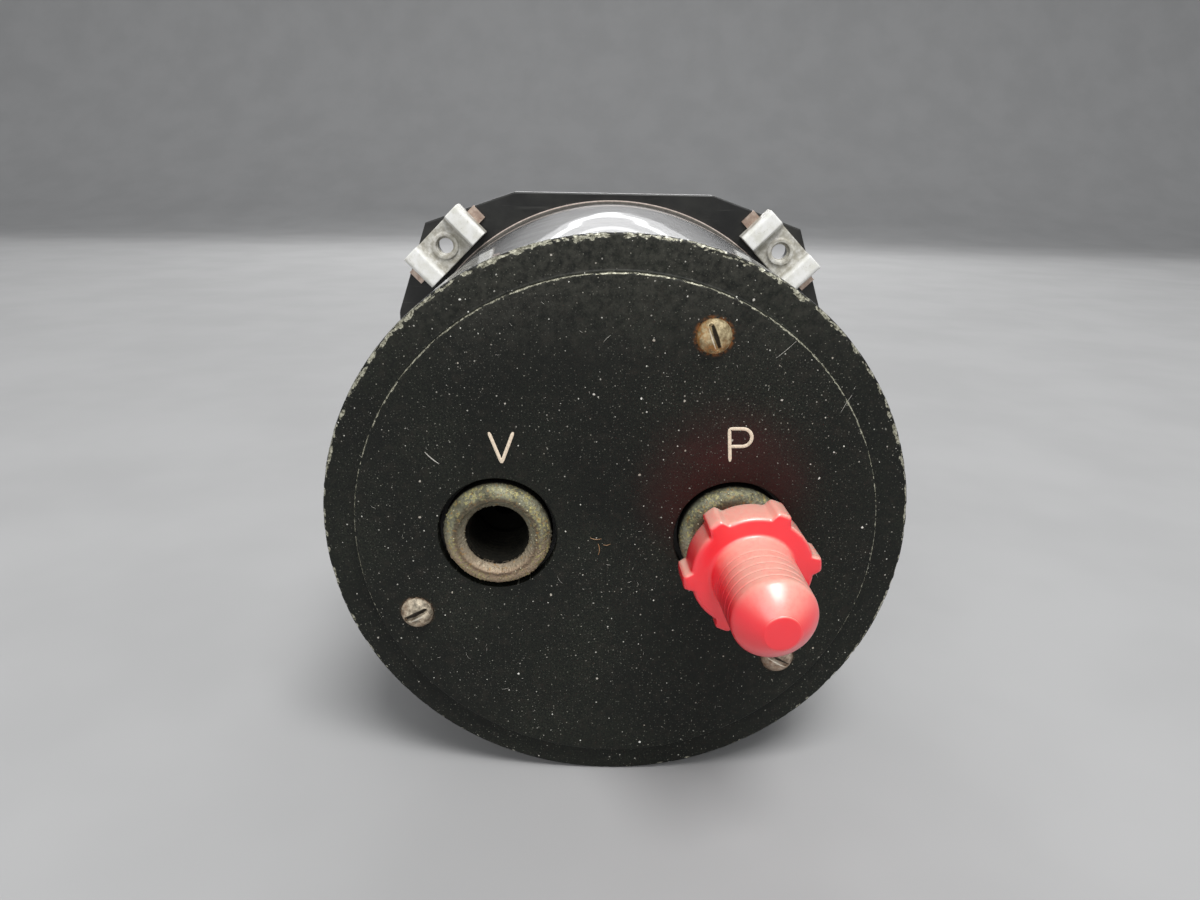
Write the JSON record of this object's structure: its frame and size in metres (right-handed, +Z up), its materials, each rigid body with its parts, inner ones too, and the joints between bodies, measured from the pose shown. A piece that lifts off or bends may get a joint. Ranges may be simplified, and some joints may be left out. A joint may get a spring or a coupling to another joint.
{
  "type": "fuel flow indicator",
  "caption": "Round panel instrument that shows fuel flow from line pressure, with a square flange, clip nuts, two rear ports and a red plug.",
  "frame": {"origin": "centre of the four panel screw holes, half way through the flange", "axes": "+Y along the instrument towards the dial and the viewer of the dial, +Z up, ports at -Y"},
  "size_m": [0.0826, 0.0935, 0.0826],
  "materials": {
    "case_enamel": "gloss black enamel, matte on the back, chipped at the rim",
    "flange_black": "satin black",
    "seal_tan": "aged tan seal",
    "seal_black": "matte",
    "ring_black": "matte black",
    "glass": "clear",
    "dial_black": "matte black",
    "pointer_white": "matte white",
    "brass": "fine turned",
    "steel": "turned",
    "spring_bronze": "rolled bronze",
    "port_metal": "dull, corroded olive grey",
    "screw_bronze": "dull, rusted at the edge",
    "clip_plated": "bright plating",
    "strip_copper": "thin copper tinted plating",
    "plug_red": "translucent moulded plastic"
  },
  "bodies": {
    "case": {"case_drum": "case_enamel", "mounting_flange": "flange_black", "case_gasket": "seal_tan", "glass_gasket": "seal_black", "base_gasket": "seal_black", "shade_ring": "ring_black", "snap_ring": "ring_black", "cover_glass": "glass", "dial_plate": "dial_black", "dial_post_1": "brass", "dial_post_2": "brass", "front_plate": "brass", "rear_plate": "brass", "pillar_1": "brass", "pillar_2": "brass", "pillar_3": "brass", "spring_stud": "brass", "restrictor": "brass", "stop_pin": "brass", "movement_screw_1": "steel", "movement_screw_2": "steel", "movement_screw_3": "steel", "case_screw_1": "steel", "case_screw_2": "steel", "case_screw_3": "steel", "case_screw_4": "steel", "dial_screw_1": "steel", "dial_screw_2": "steel", "hairspring": "spring_bronze", "bourdon_tube": "spring_bronze", "port_base": "port_metal", "back_screw_1": "screw_bronze", "back_screw_2": "screw_bronze", "back_screw_3": "screw_bronze", "clip_nut_1": "clip_plated", "clip_nut_2": "clip_plated", "clip_nut_3": "clip_plated", "clip_nut_4": "clip_plated", "clip_strip_1": "strip_copper", "clip_strip_2": "strip_copper", "clip_strip_3": "strip_copper", "clip_strip_4": "strip_copper"},
    "pointer_hand": {"pointer": "pointer_white", "pointer_arbor": "steel", "spring_collet": "brass"},
    "sector": {"sector_gear": "brass", "sector_arbor": "steel", "tail_pin": "steel"},
    "link_bar": {"link": "brass"},
    "tube_end": {"tube_tip": "brass", "tip_pin": "steel"},
    "plug": {"protective_plug": "plug_red"}
  },
  "joints": [
    {"name": "sector_turn", "type": "hinge", "parent": "case", "child": "sector", "pos_m": [0, -0.0136, -0.0165], "axis": [0, -1, 0], "range_deg": [-25, 0]},
    {"name": "pointer_turn", "type": "hinge", "parent": "case", "child": "pointer_hand", "pos_m": [0, -0.0136, 0], "axis": [0, -1, 0], "range_deg": [0, 250], "stiffness_Nm_per_rad": 0.0005, "springref_deg": -34.38, "deforming": ["hairspring"]},
    {"name": "link_turn", "type": "hinge", "parent": "sector", "child": "link_bar", "pos_m": [0.00097, -0.0149, -0.02089], "axis": [0, -1, 0], "range_deg": [0, 24.6]},
    {"name": "tube_end_turn", "type": "hinge", "parent": "case", "child": "tube_end", "pos_m": [-0.00617, -0.03, 0.01099], "axis": [0, -1, 0], "range_deg": [-3.6, 0], "deforming": ["bourdon_tube"]},
    {"name": "plug_pull", "type": "slide", "parent": "case", "child": "plug", "axis": [0.0748, -0.9967, -0.0311], "range_m": [0, 0.02]}
  ],
  "couplings": [
    {"joint": "pointer_turn", "follows": "sector_turn", "ratio": -10},
    {"joint": "link_turn", "follows": "sector_turn", "ratio": -0.98049},
    {"joint": "tube_end_turn", "follows": "sector_turn", "ratio": 0.14153}
  ]
}
